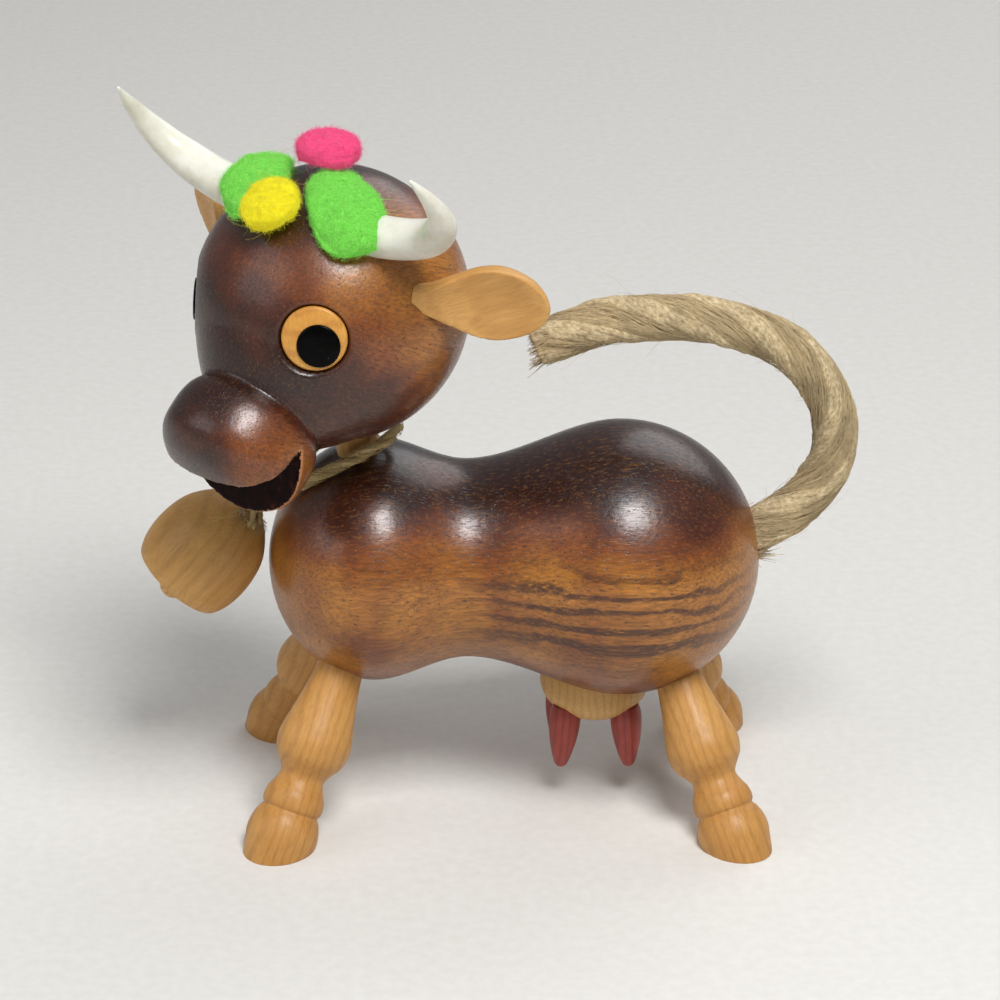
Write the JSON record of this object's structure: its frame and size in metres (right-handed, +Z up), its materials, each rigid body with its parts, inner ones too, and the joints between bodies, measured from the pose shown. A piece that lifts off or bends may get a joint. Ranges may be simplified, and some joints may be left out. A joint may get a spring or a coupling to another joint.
{
  "type": "animal figurine",
  "caption": "Turned wooden cow figurine with a turning head, felt flowers, a hanging bell and an arched rope tail.",
  "frame": {"origin": "middle of the footprint at floor level", "axes": "+Z up, the cow looks along -X, its left side is -Y"},
  "size_m": [0.1208, 0.0677, 0.1248],
  "materials": {
    "stained_wood": "satin lacquer over dark walnut stain",
    "light_wood": "oiled",
    "red_wood": "stained red-brown",
    "honey_wood": "oiled",
    "black_disc": "gloss",
    "horn_plastic": "satin",
    "green_felt": "fuzzy felt",
    "yellow_felt": "fuzzy felt",
    "pink_felt": "fuzzy felt",
    "jute": "twisted twine",
    "hemp": "laid rope",
    "steel_wire": "bright"
  },
  "bodies": {
    "torso": {"leg_front_left": "light_wood", "teat_front_left": "red_wood", "leg_front_right": "light_wood", "teat_front_right": "red_wood", "leg_rear_left": "light_wood", "teat_rear_left": "red_wood", "leg_rear_right": "light_wood", "teat_rear_right": "red_wood", "body": "stained_wood", "udder": "light_wood", "neck_dowel": "light_wood", "tail_rope": "hemp", "tail_wire": "steel_wire", "collar_twine": "jute"},
    "head": {"head": "stained_wood", "ear_left": "honey_wood", "ear_right": "honey_wood", "horn_left": "horn_plastic", "horn_right": "horn_plastic", "eye_disc_left": "honey_wood", "eye_disc_right": "honey_wood", "pupil_left": "black_disc", "pupil_right": "black_disc", "leaf_left": "green_felt", "leaf_right": "green_felt", "flower_yellow": "yellow_felt", "flower_pink": "pink_felt"},
    "bell": {"bell": "honey_wood"},
    "clapper": {"clapper": "honey_wood"}
  },
  "joints": [
    {"name": "head_turn", "type": "hinge", "parent": "torso", "child": "head", "pos_m": [-0.02221, 0.00578, 0.06304], "axis": [-0.1563, -0.2096, 0.9652], "range_deg": [-185, 100]},
    {"name": "bell_swing", "type": "hinge", "parent": "torso", "child": "bell", "pos_m": [-0.04041, 0.00578, 0.0531], "axis": [0, 1, 0], "range_deg": [0, 25]},
    {"name": "clapper_swing", "type": "hinge", "parent": "bell", "child": "clapper", "pos_m": [-0.04169, 0.00578, 0.05157], "axis": [0, 1, 0], "range_deg": [-8, 8]}
  ]
}
